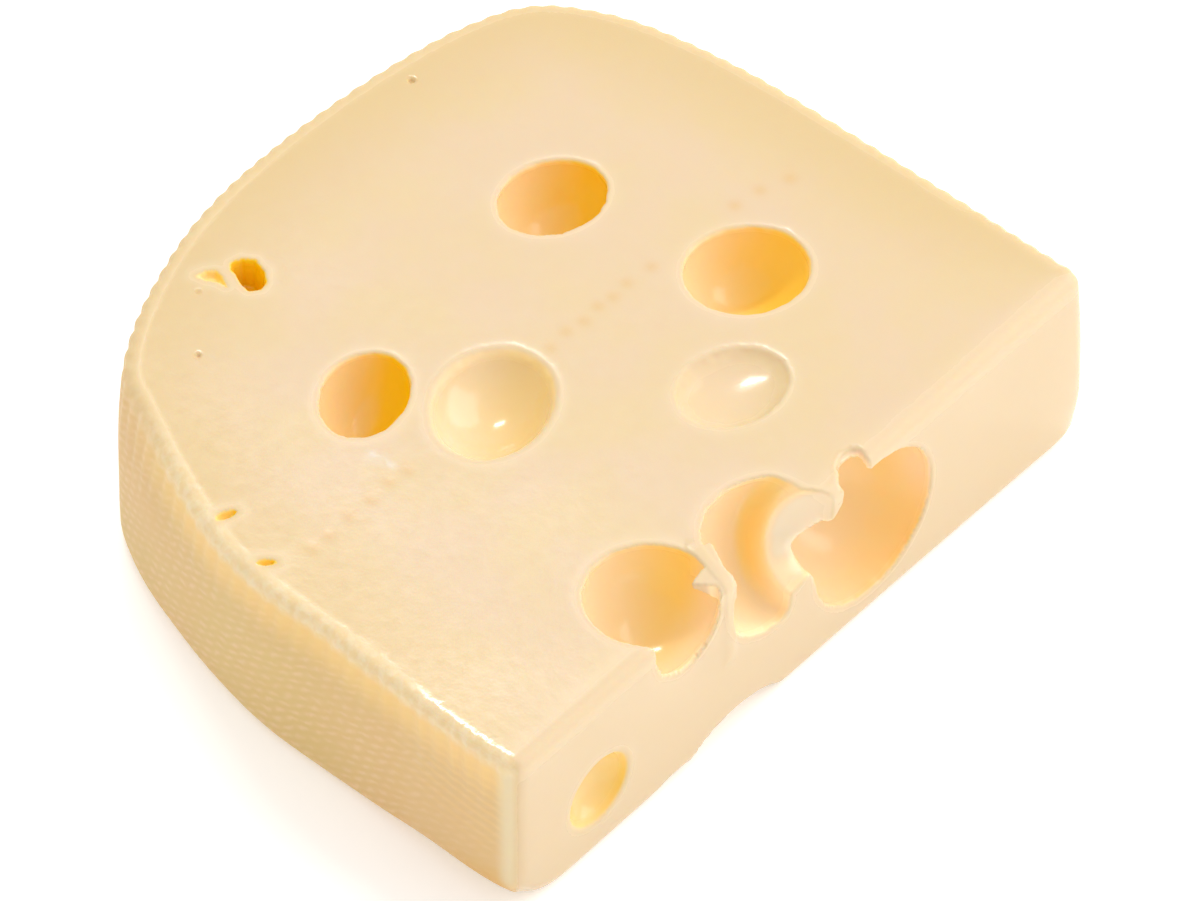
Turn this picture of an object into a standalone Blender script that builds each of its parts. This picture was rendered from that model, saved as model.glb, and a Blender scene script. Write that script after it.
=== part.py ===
"""A thick slab of pale semi-hard cheese with eyes, cut from the side of a wheel.

The slab lies on one of its two large cut faces. The narrow cut face is a straight
edge along X and faces -Y. The rest of the edge is rind: the wheel's two flat sides
at -X and +X, and its bulging outer side at +Y.

Shapes are worked out in wedge coordinates: millimetres, x along the narrow cut
face from the wheel's left flat side, y into the slab, z up from the resting face.
"""

import math

import bmesh
import bpy
from mathutils import Vector

OBJECT_NAME = "cheese_wedge"
MM = 0.001

# Driving sizes, in millimetres.
THICKNESS = 28.5
WHEEL_HEIGHT = 112.0
OUTLINE_STEP = 2.2
CORNER_RADIUS = 2.2
TOP_ROUND = 1.6
ROUND_STEPS = 4
WALL_STEPS = 4

# The part's origin is under the middle of its box: this is where it lies in wedge coordinates.
ORIGIN = Vector((56.57, 46.83, 0.0))

# The rind's line seen from above, from the narrow cut face round to it again.
RIND_LINE = (
    (111.6, -0.7),
    (112.2, 18.0),
    (112.7, 38.0),
    (112.9, 54.0),
    (112.0, 66.5),
    (109.5, 77.5),
    (104.1, 86.5),
    (95.0, 91.0),
    (80.0, 93.9),
    (62.0, 95.0),
    (45.0, 93.7),
    (30.2, 89.1),
    (19.1, 82.7),
    (14.8, 75.9),
    (8.6, 63.7),
    (4.3, 52.8),
    (2.4, 43.5),
    (1.9, 33.0),
    (0.8, 20.0),
    (-0.2, 7.0),
    (-0.3, -0.3),
)

# How far the narrow cut face stands out at its foot: in at the left end, out at the right.
FACE_LEAN_LEFT = -0.2
FACE_LEAN_GAIN = 1.3

# The resting edge is rounded most on the left rind, and at its corner with the narrow face
# there is that much more.
FOOT_ROUND = 2.2
FOOT_ROUND_CUT = 1.5
FOOT_ROUND_LEFT = 6.0
FOOT_ROUND_RIGHT = 2.8
FOOT_ROUND_CORNER = 4.0
CORNER_REACH = 6.0
LEFT_ROUND_REACH = 34.0
RIGHT_ROUND_REACH = 14.0
# One foot radius passes into the next over this length of the outline.
FOOT_SPREAD = 9.0

# The far end of the left rind leans out towards its foot, and the wheel's side bulges.
LEFT_LEAN = 2.6
LEFT_LEAN_START = 44.0
LEFT_LEAN_FULL = 80.0
SIDE_BULGE = 0.5

# Eyes open on the top face: centre of the rim, its two half widths, the angle of the
# first from X, the depth, the height of the widest level under the face, and how far
# the floor is pushed sideways.
TOP_EYES = {
    "eye_back": ((77.6, 60.6), (7.1, 6.7), -40.0, 10.0, 2.6, (0.3, 0.3)),
    "eye_right": ((84.2, 33.2), (8.5, 8.0), -45.0, 9.4, 0.8, (0.6, 1.8)),
    "eye_dish": ((66.8, 21.0), (7.3, 6.8), 60.0, 2.5, 0.0, (0.0, 0.0)),
    "eye_left": ((35.3, 56.0), (7.5, 6.0), 32.0, 9.6, 1.6, (0.4, 0.8)),
    "eye_middle": ((44.3, 42.3), (9.5, 8.2), 31.0, 5.2, 0.0, (0.4, 0.2)),
}

# Balls that cut the top edge of the narrow face: centre and radius.
CORNER_EYES = {
    "eye_corner_left": ((32.7, 6.1, 26.2), 8.7),
    "eye_corner_right": ((68.7, 1.6, 15.3), 11.9),
}
# The middle corner eye, and the ball of cheese that bulges into it from the right.
MIDDLE_EYE = ((51.0, 0.6, 23.6), 10.7)
MIDDLE_BULGE = ((69.6, 1.6, 15.2), 17.2)

# Shallow scoops: centre and half widths. The first opens the wall between the middle
# and right corner eyes, the second is the tear over the right one. The next two are
# eyes that show as hollows in the foot of the narrow face, the last is low on its left.
SCOOPS = {
    "torn_wall": ((57.5, -2.8, 23.3), (8.7, 8.7, 8.7)),
    "torn_roof": ((65.8, 0.2, 26.6), (3.4, 3.0, 4.0)),
    "eye_foot": ((42.2, -0.6, -1.6), (9.4, 5.5, 4.8)),
    "eye_foot_left": ((30.5, -0.8, -2.6), (7.0, 3.2, 3.6)),
    "eye_low": ((15.5, -1.6, 11.0), (5.7, 5.0, 5.7)),
}

# Small holes in the top face: centre, half widths and the angle of the first from X.
SMALL_HOLES = {
    "hole_ragged": ((41.9, 81.6), (2.4, 1.9, 4.2), 20.0),
    "slit_upper": ((8.6, 55.4), (1.2, 0.5, 1.2), -30.0),
    "slit_lower": ((6.0, 46.2), (1.2, 0.5, 1.1), -33.0),
}

# A torn tooth of cheese over the left corner eye.
TOOTH = (
    (37.3, 3.4, 28.2),
    (37.7, 3.2, 27.4),
    (42.6, 5.6, 28.3),
    (42.6, 5.4, 26.6),
    (42.4, 0.9, 28.0),
    (40.0, 0.2, 25.8),
)

EYE_SEGMENTS = 28
SCOOP_SEGMENTS = 24
HOLE_SEGMENTS = 12
# A small hole is widest this far under the top face.
HOLE_DROP = 0.13

PASTE_COLOUR = (0.89, 0.70, 0.42, 1.0)
PASTE_ROUGHNESS = 0.38


def clear_scene():
    for obj in list(bpy.data.objects):
        bpy.data.objects.remove(obj, do_unlink=True)


def new_collection(name, hidden=False):
    collection = bpy.data.collections.new(name)
    bpy.context.scene.collection.children.link(collection)
    collection.hide_render = hidden
    return collection


def to_part(point):
    """A point in wedge coordinates as the part's own metres."""
    return (Vector(point) - ORIGIN) * MM


def smooth_step(start, end, value):
    share = min(max((value - start) / (end - start), 0.0), 1.0)
    return share * share * (3.0 - 2.0 * share)


def spline(points, step):
    """Points about a step apart on a smooth curve through the given ones."""
    ends = [points[0] * 2 - points[1], *points, points[-1] * 2 - points[-2]]
    line = []
    for before, start, end, after in zip(ends, ends[1:], ends[2:], ends[3:]):
        count = max(1, round((end - start).length / step))
        for i in range(count):
            t = i / count
            line.append(
                0.5
                * (
                    2 * start
                    + (end - before) * t
                    + (2 * before - 5 * start + 4 * end - after) * t**2
                    + (3 * start - before - 3 * end + after) * t**3
                )
            )
    return [*line, points[-1]]


def round_corner(start, corner, end, steps=4):
    """A small arc that leaves the corner out, as a quadratic curve."""
    line = []
    for i in range(steps + 1):
        t = i / steps
        line.append(start * (1 - t) ** 2 + corner * 2 * t * (1 - t) + end * t**2)
    return line


def outline():
    """The slab seen from above, anticlockwise, starting on the narrow face."""
    rind = spline([Vector(point) for point in RIND_LINE], OUTLINE_STEP)
    right, left = rind[0], rind[-1]
    along = (right - left).normalized()
    rind = [
        point
        for point in rind
        if (point - right).length > CORNER_RADIUS and (point - left).length > CORNER_RADIUS
    ]
    up_right = right + (rind[0] - right).normalized() * CORNER_RADIUS
    up_left = left + (rind[-1] - left).normalized() * CORNER_RADIUS
    face_left = left + along * CORNER_RADIUS
    face_right = right - along * CORNER_RADIUS
    count = round((face_right - face_left).length / OUTLINE_STEP)
    face = [face_left.lerp(face_right, i / count) for i in range(1, count)]
    return [
        *face,
        *round_corner(face_right, right, up_right),
        *rind,
        *round_corner(up_left, left, face_left),
    ]


def outward(line):
    """The direction out of the slab at each point of its outline."""
    normals = []
    for before, after in zip([line[-1], *line[:-1]], [*line[1:], line[0]]):
        along = after - before
        normals.append(Vector((along.y, -along.x)).normalized())
    return normals


def foot_round(point, normal):
    """The radius of the resting edge at a point of the outline."""
    corner = FOOT_ROUND_CORNER * smooth_step(CORNER_REACH, 0.0, point.length)
    if normal.y < -0.7:
        return FOOT_ROUND_CUT + corner
    near_left = smooth_step(LEFT_ROUND_REACH, 6.0, point.y) * smooth_step(20.0, 6.0, point.x)
    near_right = smooth_step(RIGHT_ROUND_REACH, 2.0, point.y) * smooth_step(90.0, 106.0, point.x)
    return (
        FOOT_ROUND
        + corner
        + (FOOT_ROUND_LEFT - FOOT_ROUND) * near_left
        + (FOOT_ROUND_RIGHT - FOOT_ROUND) * near_right
    )


def spread(line, values):
    """Each value as the mean over its stretch of the outline, so corners don't fold."""
    lengths = [(after - before).length for before, after in zip([line[-1], *line[:-1]], [*line[1:], line[0]])]
    means = []
    for point in line:
        weights = [
            max(0.0, 1.0 - (other - point).length / FOOT_SPREAD) * length
            for other, length in zip(line, lengths)
        ]
        total = sum(weights)
        means.append(sum((value * (weight / total) for value, weight in zip(values, weights)), values[0] * 0.0))
    return means


def wall_offset(point, normal, height):
    """How far the wall stands out of the outline at this height."""
    up = height / THICKNESS
    reach = max(smooth_step(30.0, 70.0, point.y), smooth_step(90.0, 108.0, point.x))
    bulge = SIDE_BULGE * reach * 4 * up * (1 - up)
    left = smooth_step(LEFT_LEAN_START, LEFT_LEAN_FULL, point.y) * smooth_step(26.0, 12.0, point.x)
    face_lean = FACE_LEAN_LEFT + FACE_LEAN_GAIN * (point.x / WHEEL_HEIGHT) ** 2
    face = face_lean * smooth_step(-0.3, -0.9, normal.y)
    return bulge + (LEFT_LEAN * left + face) * (1 - up)


def section_heights():
    """Each level's place on the edge: a part (foot, wall or top) and a share of it."""
    levels = [("foot", i / ROUND_STEPS) for i in range(ROUND_STEPS + 1)]
    levels += [("wall", i / WALL_STEPS) for i in range(1, WALL_STEPS)]
    return levels + [("top", i / ROUND_STEPS) for i in range(ROUND_STEPS + 1)]


def build_slab(collection):
    """The slab before its eyes: a loft of the outline from the resting face to the top."""
    line = outline()
    normals = outward(line)
    foot_radii = [foot_round(point, normal) for point, normal in zip(line, normals)]
    foot_insets = spread(line, [normal * radius for normal, radius in zip(normals, foot_radii)])
    foot_radii = spread(line, foot_radii)
    mesh = bpy.data.meshes.new(OBJECT_NAME)
    model = bmesh.new()
    rings = []
    for part, share in section_heights():
        ring = []
        for point, normal, radius, foot_inset in zip(line, normals, foot_radii, foot_insets):
            angle = share * math.pi / 2
            if part == "foot":
                height = radius * (1 - math.cos(angle))
                inset = foot_inset * (1 - math.sin(angle))
            elif part == "top":
                height = THICKNESS - TOP_ROUND * (1 - math.sin(angle))
                inset = normal * (TOP_ROUND * (1 - math.cos(angle)))
            else:
                height = radius + (THICKNESS - TOP_ROUND - radius) * share
                inset = normal * 0.0
            place = point + normal * wall_offset(point, normal, height) - inset
            ring.append(model.verts.new(to_part((place.x, place.y, height))))
        rings.append(ring)
    for lower, upper in zip(rings, rings[1:]):
        for i, vertex in enumerate(lower):
            following = (i + 1) % len(lower)
            model.faces.new((vertex, lower[following], upper[following], upper[i]))
    caps = [model.faces.new(reversed(rings[0])), model.faces.new(rings[-1])]
    bmesh.ops.triangulate(model, faces=caps)
    bmesh.ops.recalc_face_normals(model, faces=model.faces)
    model.to_mesh(mesh)
    model.free()
    slab = bpy.data.objects.new(OBJECT_NAME, mesh)
    collection.objects.link(slab)
    return slab


def add_ball(collection, name, centre, radii, segments, angle=0.0, shear=(0.0, 0.0)):
    """An ellipsoid cutter, turned about Z, whose levels slide sideways with depth."""
    model = bmesh.new()
    bmesh.ops.create_uvsphere(model, u_segments=segments, v_segments=segments // 2, radius=1.0)
    turn = math.radians(angle)
    for vertex in model.verts:
        x, y, z = (value * radius for value, radius in zip(vertex.co, radii))
        depth_share = -z / radii[2]
        vertex.co = (
            x * math.cos(turn) - y * math.sin(turn) + shear[0] * depth_share,
            x * math.sin(turn) + y * math.cos(turn) + shear[1] * depth_share,
            z,
        )
        vertex.co = vertex.co * MM
    mesh = bpy.data.meshes.new(name)
    model.to_mesh(mesh)
    model.free()
    ball = bpy.data.objects.new(name, mesh)
    ball.location = to_part(centre)
    ball.display_type = "WIRE"
    ball.hide_render = True
    collection.objects.link(ball)
    return ball


def top_eye(collection, name, rim, half_widths, angle, depth, drop, shear):
    """An eye in the top face. Its ellipsoid is widest a little under the face."""
    height = depth - drop
    if drop == 0.0:
        # A dish is the cap of a ball whose centre is above the face.
        mean = (half_widths[0] + half_widths[1]) / 2
        ball = (mean**2 + depth**2) / (2 * depth)
        radii = (half_widths[0] * ball / mean, half_widths[1] * ball / mean, ball)
        centre = (rim[0], rim[1], THICKNESS - depth + ball)
    else:
        # The rim lies above the widest level, so the ellipsoid is a little wider than it.
        swell = 1 / math.sqrt(1 - (drop / height) ** 2)
        radii = (half_widths[0] * swell, half_widths[1] * swell, height)
        centre = (rim[0], rim[1], THICKNESS - drop)
    return add_ball(collection, name, centre, radii, EYE_SEGMENTS, angle, shear)


def add_tooth(collection):
    model = bmesh.new()
    for corner in TOOTH:
        model.verts.new(to_part(corner))
    bmesh.ops.convex_hull(model, input=model.verts)
    bmesh.ops.recalc_face_normals(model, faces=model.faces)
    mesh = bpy.data.meshes.new("tooth")
    model.to_mesh(mesh)
    model.free()
    tooth = bpy.data.objects.new("tooth", mesh)
    tooth.display_type = "WIRE"
    tooth.hide_render = True
    collection.objects.link(tooth)
    return tooth


def combine(target, other, operation):
    modifier = target.modifiers.new(f"{operation.lower()} {other.name}", "BOOLEAN")
    modifier.operation = operation
    modifier.object = other
    modifier.solver = "EXACT"


def paste_material():
    material = bpy.data.materials.new("cheese paste")
    material.use_nodes = True
    shader = material.node_tree.nodes["Principled BSDF"]
    shader.inputs["Base Color"].default_value = PASTE_COLOUR
    shader.inputs["Roughness"].default_value = PASTE_ROUGHNESS
    shader.inputs["Metallic"].default_value = 0.0
    return material


def main():
    clear_scene()
    parts = new_collection("cheese wedge")
    cutters = new_collection("cutters", hidden=True)
    slab = build_slab(parts)

    hollows = [top_eye(cutters, name, *sizes) for name, sizes in TOP_EYES.items()]
    for name, (centre, radius) in CORNER_EYES.items():
        hollows.append(add_ball(cutters, name, centre, (radius,) * 3, EYE_SEGMENTS))
    middle = add_ball(cutters, "eye_corner_middle", MIDDLE_EYE[0], (MIDDLE_EYE[1],) * 3, EYE_SEGMENTS)
    bulge = add_ball(cutters, "bulge", MIDDLE_BULGE[0], (MIDDLE_BULGE[1],) * 3, 2 * EYE_SEGMENTS)
    combine(middle, bulge, "DIFFERENCE")
    hollows.append(middle)
    for name, (centre, radii) in SCOOPS.items():
        hollows.append(add_ball(cutters, name, centre, radii, SCOOP_SEGMENTS))
    for name, ((x, y), radii, angle) in SMALL_HOLES.items():
        hollows.append(add_ball(cutters, name, (x, y, THICKNESS - HOLE_DROP), radii, HOLE_SEGMENTS, angle))
    for hollow in hollows:
        combine(slab, hollow, "DIFFERENCE")
    combine(slab, add_tooth(cutters), "UNION")

    slab.data.materials.append(paste_material())
    slab.data.shade_smooth()


main()
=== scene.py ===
"""Looks of a thick slab of pale semi-hard cheese with eyes, cut from the side of a wheel.

The slab's surface is the zero level of a field: a rounded slab less its eyes, tears and
pits, plus a torn tooth of cheese. The field is measured on a grid, and a net of quads is
laid round its zero level. Level parts of the net are joined into larger faces and its rims
are made finer, and then each vertex is moved onto the zero level.

Shapes are in wedge coordinates, as in the part's own source: millimetres, x along the
narrow cut face from the wheel's left flat side, y into the slab, z up from the resting
face. Objects, lights and the camera are in metres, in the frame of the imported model.
"""

import math
from typing import NamedTuple

import bmesh
import bpy
import numpy as np
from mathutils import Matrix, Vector


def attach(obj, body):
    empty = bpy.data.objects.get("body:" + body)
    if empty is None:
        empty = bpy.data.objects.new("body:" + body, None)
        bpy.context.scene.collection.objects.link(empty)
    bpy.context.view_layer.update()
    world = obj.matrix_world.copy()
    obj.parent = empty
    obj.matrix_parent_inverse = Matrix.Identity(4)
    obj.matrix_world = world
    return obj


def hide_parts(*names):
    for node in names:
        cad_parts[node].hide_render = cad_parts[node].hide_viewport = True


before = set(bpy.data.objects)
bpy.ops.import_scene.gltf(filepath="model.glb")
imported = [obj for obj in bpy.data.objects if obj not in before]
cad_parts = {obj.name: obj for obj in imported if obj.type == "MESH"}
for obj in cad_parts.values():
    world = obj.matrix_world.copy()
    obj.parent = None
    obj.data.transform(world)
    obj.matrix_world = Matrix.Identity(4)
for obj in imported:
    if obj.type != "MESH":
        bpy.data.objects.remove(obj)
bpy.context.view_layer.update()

MM = 0.001
NODE = "cheese_wedge"

# The slab, as in the part's source.
THICKNESS = 28.5
WHEEL_HEIGHT = 112.0
CORNER_RADIUS = 2.2
TOP_ROUND = 1.6
ORIGIN = np.array((56.57, 46.83, 0.0))
RIND_LINE = (
    (111.6, -0.7),
    (112.2, 18.0),
    (112.7, 38.0),
    (112.9, 54.0),
    (112.0, 66.5),
    (109.5, 77.5),
    (104.1, 86.5),
    (95.0, 91.0),
    (80.0, 93.9),
    (62.0, 95.0),
    (45.0, 93.7),
    (30.2, 89.1),
    (19.1, 82.7),
    (14.8, 75.9),
    (8.6, 63.7),
    (4.3, 52.8),
    (2.4, 43.5),
    (1.9, 33.0),
    (0.8, 20.0),
    (-0.2, 7.0),
    (-0.3, -0.3),
)
FACE_LEAN_LEFT = -0.2
FACE_LEAN_GAIN = 1.3
LEFT_LEAN = 2.6
SIDE_BULGE = 0.5
FOOT_ROUND = 2.2
FOOT_ROUND_CUT = 1.5
FOOT_ROUND_LEFT = 6.0
FOOT_ROUND_RIGHT = 2.8
FOOT_ROUND_CORNER = 4.0
CORNER_REACH = 6.0

# The grids: step of the plan's maps, and of the field that the surface is taken from.
# The field's step divides the thickness, so that both flat faces lie midway between its planes.
PLAN_STEP = 0.5
PLAN_MARGIN = 6.0
FIELD_STEP = THICKNESS / 50
FIELD_MARGIN = 2.0
COARSE_STEP = 2.0
NOISE_CELLS = 24

# How many batches the plan is measured in, and how many of the field's points go in one.
PLAN_BATCHES = 48
FIELD_BATCH = 200000

# How far the plan's maps of distance, foot and rind are softened, in its steps.
SOFT_DISTANCE = 4
SOFT_FOOT = 5
SOFT_RIND = 9

# How near a rim the net is made finer, and how many quads along a joined flat block.
FINE_REACH = 0.8
BLOCK = 4

# The rind's relief: shallow scallops along it, and low lumps.
SCALLOP_LENGTH = 3.05
SCALLOP_DEPTH = 0.13
LUMP_SIZE = 9.0
LUMP_DEPTH = 0.16

# Height and size of the low lumps of the top face, of the eyes' uneven walls and of torn edges.
TOP_LUMPS = (0.05, 14.0)
WALL_LUMPS = (0.12, 7.0)
TORN_LUMPS = (0.14, 1.2)

# The cloth's imprint on the rind: slope of its rows in degrees, and their height.
WEAVE_TILT = 30.0
WEAVE_ROW = 1.29


class TopEye(NamedTuple):
    """An eye open on the top face."""

    # The rim's centre and half widths, and the angle of the first from X.
    centre: tuple
    half_widths: tuple
    angle: float

    # Its depth, how far under the face it is widest, and the sideways push of its floor.
    depth: float
    drop: float
    push: tuple

    # How far its rim is rounded, near the narrow face and on the far side.
    rounding: tuple

    # How bright its wall is painted against the hollow's shade, how strongly painted shade colours the wall
    # deep orange, and the least share of that painted shade.
    tint: tuple


BACK_EYE = TopEye((77.8, 60.7), (7.5, 6.2), -12.0, 10.0, 2.6, (0.3, 0.3), (0.3, 0.7), (1.0, 0.95, 0.0))
RIGHT_EYE = TopEye((83.9, 32.9), (8.35, 7.6), -25.0, 9.4, 0.8, (0.6, 1.8), (0.35, 0.7), (1.0, 0.85, 0.0))
DISH = TopEye((66.5, 20.9), (7.5, 6.0), -11.0, 1.6, 0.1, (0.0, 0.0), (0.6, 1.0), (0.15, 0.6, 0.1))
LEFT_EYE = TopEye((35.3, 55.9), (7.5, 5.6), 24.0, 9.6, 1.6, (0.4, 0.8), (0.3, 0.6), (1.0, 1.0, 0.0))
MIDDLE_EYE = TopEye((44.4, 42.2), (9.7, 7.7), 20.0, 5.3, 0.0, (0.4, 0.2), (0.5, 1.0), (0.5, 0.7, 0.1))
TOP_EYES = (BACK_EYE, RIGHT_EYE, DISH, LEFT_EYE, MIDDLE_EYE)

# The way that the rims' far sides face.
FAR_SIDE = (0.763, 0.647)

# The way that the eyes' walls face where painted shade colours them deepest orange, standing for their
# shade and the light bounced inside them.
SHADED_SIDE = (-0.75, 0.66)

# The way that their lower lips face, which get painted light.
LIT_LIP_SIDE = (0.08, 1.0)

# Eyes that open in the narrow face's top edge, as balls, and the wall between the last two.
CORNER_LEFT = ((32.6, 6.1, 26.2), 8.7)
CORNER_MIDDLE = ((51.0, 0.6, 23.6), 10.7)
CORNER_RIGHT = ((69.1, 1.8, 15.2), 11.7)
BULGE = ((69.6, 1.6, 15.2), 17.2)
BULGE_ROUND = 1.8
CORNER_RIM = 0.35

# The torn end of that wall, and the reach of its blend into the right eye, above and below.
TORN_WALL = ((50.9, -3.4, 25.9), 10.2)
TORN_BLEND_ABOVE = 0.9
TORN_BLEND_BELOW = 4.5

# The torn wall's pale part ends at this height, and higher by this slope beyond this X.
TORN_FOOT = 18.6
TORN_FOOT_SLOPE = 0.9
TORN_FOOT_START = 56.5

# The tear in the right eye's roof, and the hollows in the foot of the narrow face.
ROOF_TEAR = (
    (63.4, -2.0),
    (62.6, 0.2),
    (64.7, 2.2),
    (66.2, 2.9),
    (68.0, 2.6),
    (68.5, 1.7),
    (68.2, 0.4),
    (67.2, -2.0),
)
ROOF_TEAR_FLOOR = 20.0
FOOT_HOLLOWS = (
    ((42.2, -0.6, -1.6), (9.4, 5.5, 4.8)),
    ((30.5, -0.8, -2.6), (7.0, 3.2, 3.6)),
)
LOW_EYE = ((15.5, -1.6, 11.0), (5.7, 5.0, 5.7))

# The wall between the left and middle corner eyes, and the tooth torn out of its top edge.
RIDGE_LINE = ((42.3, 7.0), (40.3, -2.0))
RIDGE_HALF = 0.8
RIDGE_FOOT = 14.0
TOOTH = (
    (41.3, 6.4),
    (40.6, 4.0),
    (37.1, 3.4),
    (40.1, -0.5),
    (40.1, -1.6),
    (41.6, -1.6),
    (42.2, 2.1),
    (43.5, 4.3),
    (44.5, 6.2),
)
TOOTH_TIP = (37.1, 3.4)
TOOTH_EDGE = 0.55
TOOTH_SWELL = 0.6

# A ragged hole and a shallow crescent in the top face: outline, floor, and how much they narrow.
RAGGED_HOLE = (
    (41.7, 84.5),
    (43.2, 84.0),
    (44.1, 82.4),
    (43.4, 80.2),
    (42.0, 78.7),
    (40.7, 78.4),
    (39.4, 79.5),
    (39.7, 81.0),
    (40.4, 82.5),
    (40.8, 83.7),
)
RAGGED_FLOOR = THICKNESS - 4.5
RAGGED_DRAFT = 0.12
CRESCENT = (
    (37.0, 86.4),
    (38.5, 86.0),
    (39.4, 85.1),
    (39.2, 83.9),
    (38.1, 82.0),
    (38.0, 83.6),
    (37.3, 84.9),
)
CRESCENT_FLOOR = THICKNESS - 0.9
CRESCENT_DRAFT = 0.4

# Two slits by the rind: centre, half sizes and angle from X. Then small pits: centre and radius.
SLITS = (
    ((8.5, 55.3), (1.35, 0.5, 1.0), -22.0),
    ((5.8, 46.1), (1.25, 0.45, 0.9), -48.0),
)
SLIT_DROP = 0.1
PITS = (((35.1, 84.2), 0.32), ((26.7, 76.6), 0.3), ((82.2, 88.9), 0.5))

# A row of shallow dimples across the top face, and a short pale smear.
DIMPLES = (
    (11.4, 43.4),
    (14.3, 43.2),
    (18.5, 43.5),
    (22.2, 43.1),
    (26.0, 43.4),
    (29.0, 43.0),
    (57.0, 43.2),
    (60.5, 43.5),
    (63.3, 43.0),
    (66.5, 43.3),
    (69.0, 42.9),
    (72.1, 43.2),
    (76.4, 42.6),
    (91.9, 41.5),
    (96.2, 40.8),
    (100.4, 39.2),
)
DIMPLE_RADIUS = 0.75
DIMPLE_DEPTH = 0.025
SMEAR_LINE = ((28.1, 48.3), (28.3, 44.9))

# How bright a hollow's wall is painted against its shade, how strongly painted shade colours it, and
# the least share of that painted shade: the corner eyes and the torn wall, the low eye, and the small
# holes.
CORNER_TINTS = ((1.0, 0.72, 0.0), (1.0, 0.6, 0.0), (1.0, 0.5, 0.0), (1.0, 0.45, 0.15))
LOW_EYE_TINT = (0.7, 1.0, 0.45)
RAGGED_TINT = (1.0, 1.0, 0.9)
CRESCENT_TINT = (1.0, 0.8, 0.4)
SLIT_TINT = (1.0, 1.0, 0.5)
TINTS = (
    *(eye.tint for eye in TOP_EYES),
    *CORNER_TINTS,
    LOW_EYE_TINT,
    RAGGED_TINT,
    CRESCENT_TINT,
    *(SLIT_TINT,) * len(SLITS),
)

# How far these masks reach: eyes' walls, their rims, pale halos, torn paste and the smear.
WALL_REACH = 0.8
RIM_REACH = 0.9
HALO_REACH = 1.5
TORN_REACH = 1.2
SMEAR_REACH = 0.55

# How light scatters inside the cheese: its share, and its reach in red, green and blue.
SCATTER_SHARE = 0.3
SCATTER_COLOURS = (1.0, 0.5, 0.15)
SCATTER_REACH = 0.002

# The camera, whose place and target are in wedge coordinates, and its lens.
CAMERA_PLACE = (-478.89, -419.706, 768.391)
CAMERA_TARGET = (57.373, 35.243, 14.25)
LENS = 240.0
SENSOR_WIDTH = 36.0

# Each light's name, direction from the slab, distance, size and power, and the studio's own glow.
LIGHTS = (
    ("right", (0.75, -0.45, 0.6), 0.9, (0.8, 0.8), 4.5),
    ("key", (0.339, 0.454, 0.824), 2.5, (0.6, 0.15), 15.0),
)
WORLD_STRENGTH = 0.85

# The floor reaches this far each way and lies a little under the slab, in metres.
FLOOR_REACH = 3.0
FLOOR_DROP = 0.0002


def shade(red, green, blue):
    """A colour given in display values of 0 to 255, as linear light."""
    display = (red / 255, green / 255, blue / 255)
    linear = (((c + 0.055) / 1.055) ** 2.4 if c > 0.04 else c / 12.92 for c in display)
    return (*linear, 1.0)


PASTE = shade(219, 193, 158)
PASTE_YELLOW = shade(219, 194, 151)
PASTE_NEAR_RIND = shade(214, 186, 134)
# Painted shade: the narrow cut face a little darker than the top's paste. Then a painted highlight for its
# rounded top edge.
PASTE_CUT_SHADE = shade(216, 190, 150)
BRINK_HIGHLIGHT = shade(226, 203, 168)
RIND_TAN = shade(215, 177, 119)
RIND_GREENISH = shade(211, 180, 116)
RIND_DASH = shade(228, 194, 152)
RIND_GOLDEN = shade(238, 198, 124)
# Painted shade, golden, on the rounded foot of the rind's left side.
RIND_FOOT_SHADE = shade(210, 156, 50)
STRIP_YELLOW = shade(236, 210, 160)
STRIP_PALE = shade(240, 222, 184)
# A painted highlight down the rounded corner between the rind and the narrow cut face.
CORNER_HIGHLIGHT = shade(222, 202, 160)
SMEAR = shade(226, 218, 206)
HALO = shade(224, 206, 172)
TORN = shade(236, 219, 188)
DIMPLE = shade(216, 178, 124)
# The eyes' walls: a colour painted lighter than the paste against the hollows' shade, and a lit and a shade
# copy that paint light and shade on the walls, the shade copy deep orange.
EYE_WALL_LIGHTENED = shade(253, 223, 190)
EYE_WALL_PAINTED_LIT = shade(254, 227, 182)
EYE_WALL_PAINTED_SHADE = shade(254, 206, 2)


def smooth_step(start, end, value):
    """The value's place between two limits, smoothed, from 0 to 1."""
    share = np.clip((value - start) / (end - start), 0.0, 1.0)
    return share * share * (3.0 - 2.0 * share)


def round_and(first, second, radius):
    """Inside both shapes, with the edge where they meet rounded."""
    corner = np.hypot(np.maximum(first + radius, 0.0), np.maximum(second + radius, 0.0))
    return np.minimum(np.maximum(first, second), -radius) + corner


def smooth_or(first, second, reach):
    """Inside either shape, with a fillet where they meet."""
    blend = np.maximum(reach - np.abs(first - second), 0.0) / reach
    return np.minimum(first, second) - blend * blend * reach / 4.0


def noise(points, size, seed):
    """Smooth noise between -1 and 1 whose lumps are about the given size."""
    table = np.random.default_rng(seed).uniform(-1.0, 1.0, (NOISE_CELLS,) * 3)
    place = points / size
    cell = np.floor(place).astype(int)
    share = place - cell
    share = share * share * (3.0 - 2.0 * share)
    low, high = cell % NOISE_CELLS, (cell + 1) % NOISE_CELLS
    total = np.zeros(len(points))
    for ends in np.ndindex(2, 2, 2):
        index = np.where(ends, high, low)
        weight = np.prod(np.where(ends, share, 1.0 - share), axis=1)
        total += table[tuple(index.T)] * weight
    return total


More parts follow.
